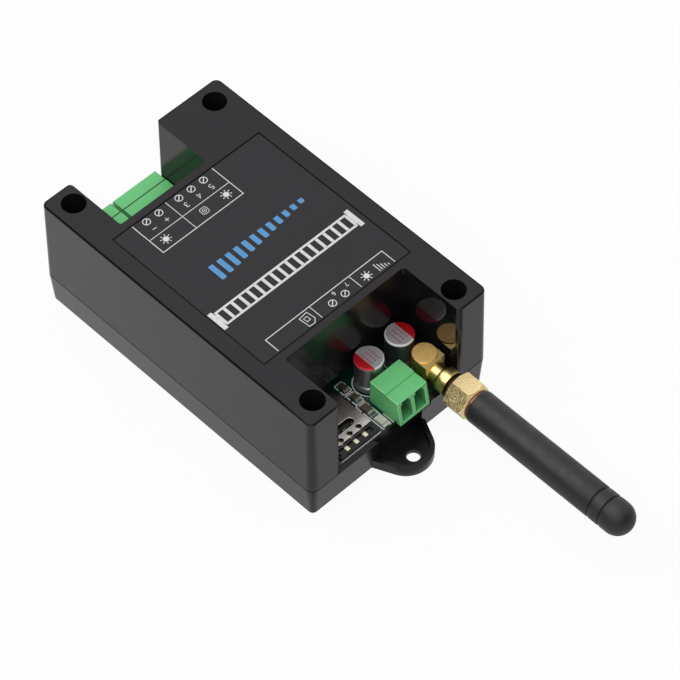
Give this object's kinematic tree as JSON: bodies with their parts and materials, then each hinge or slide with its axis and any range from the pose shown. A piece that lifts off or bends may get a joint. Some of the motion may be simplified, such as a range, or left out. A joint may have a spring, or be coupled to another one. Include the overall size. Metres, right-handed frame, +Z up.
{
  "type": "gate and garage door controller",
  "caption": "Two-part plastic controller box with screw ears, plug-in terminal headers, card socket and a screw-on stub aerial, for switching a gate or garage door.",
  "frame": {"origin": "middle of the flat underside of the base, between the two mounting ears", "axes": "+X along the box towards the aerial end, +Y across the box towards the side of the aerial, +Z up from the wall or table"},
  "size_m": [0.1395, 0.05, 0.0304],
  "materials": {
    "cover_plastic": "fine spark-eroded satin",
    "base_plastic": "fine spark-eroded satin",
    "label_film": "matt printed film",
    "steel": "zinc plated",
    "board": "solder mask over glass fibre laminate",
    "green_plastic": "moulded satin",
    "tin": "tin plated",
    "can": "bare drawn can",
    "rubber": "matt",
    "gold": "gold plated",
    "copper": "copper coloured plating",
    "copper_wire": "bare wire",
    "ptfe": "natural",
    "nickel": "nickel plated sheet",
    "black_plastic": "moulded",
    "lamp": "clear resin",
    "relay_plastic": "moulded",
    "ferrite": "sintered",
    "ceramic": "sintered"
  },
  "bodies": {
    "housing": {"base_shell": "base_plastic", "top_cover": "cover_plastic", "label_plate": "label_film", "lid_screws": "steel", "main_board": "board", "board_screws": "steel", "power_header": "green_plastic", "power_header_pins": "tin", "relay_header": "green_plastic", "relay_header_pins": "tin", "switch_header": "green_plastic", "switch_header_pins": "tin", "capacitor_cans": "can", "capacitor_seals": "rubber", "capacitor_leads": "tin", "jack_body": "gold", "jack_cap": "gold", "jack_insulator": "ptfe", "jack_contact": "gold", "card_tray": "black_plastic", "card_contacts": "gold", "reset_switch": "nickel", "run_lamp": "lamp", "relay_lamp": "lamp", "signal_lamp": "lamp", "relay_case": "relay_plastic", "relay_base": "relay_plastic", "relay_pins": "tin", "modem_board": "board", "modem_shield": "nickel", "controller_chip": "black_plastic", "regulator_chip": "black_plastic", "power_inductor": "ferrite", "input_diode": "black_plastic", "chip_parts": "ceramic"},
    "aerial": {"antenna_ferrule": "gold", "plug_insulator": "ptfe", "plug_pin": "gold", "antenna_ring": "copper", "antenna_sleeve": "rubber", "antenna_coil": "copper_wire"},
    "nut": {"coupling_nut": "gold"},
    "cover": {"card_cover": "nickel"},
    "button": {"reset_button": "black_plastic"}
  },
  "joints": [
    {"name": "aerial_slide", "type": "slide", "parent": "housing", "child": "aerial", "axis": [1, 0, 0], "range_m": [0, 0.00352]},
    {"name": "nut_spin", "type": "hinge", "parent": "aerial", "child": "nut", "pos_m": [0.04605, 0.0131, 0.01107], "axis": [1, 0, 0], "range_deg": [0, 1800]},
    {"name": "cover_hinge", "type": "hinge", "parent": "housing", "child": "cover", "pos_m": [0.02495, -0.00905, 0.00795], "axis": [0, -1, 0], "range_deg": [0, 90]},
    {"name": "button_press", "type": "slide", "parent": "housing", "child": "button", "axis": [0, 0, -1], "range_m": [0, 0.00025], "stiffness_N_per_m": 600}
  ],
  "couplings": [
    {"joint": "nut_spin", "follows": "aerial_slide", "rad_per_m": 8904.7}
  ]
}
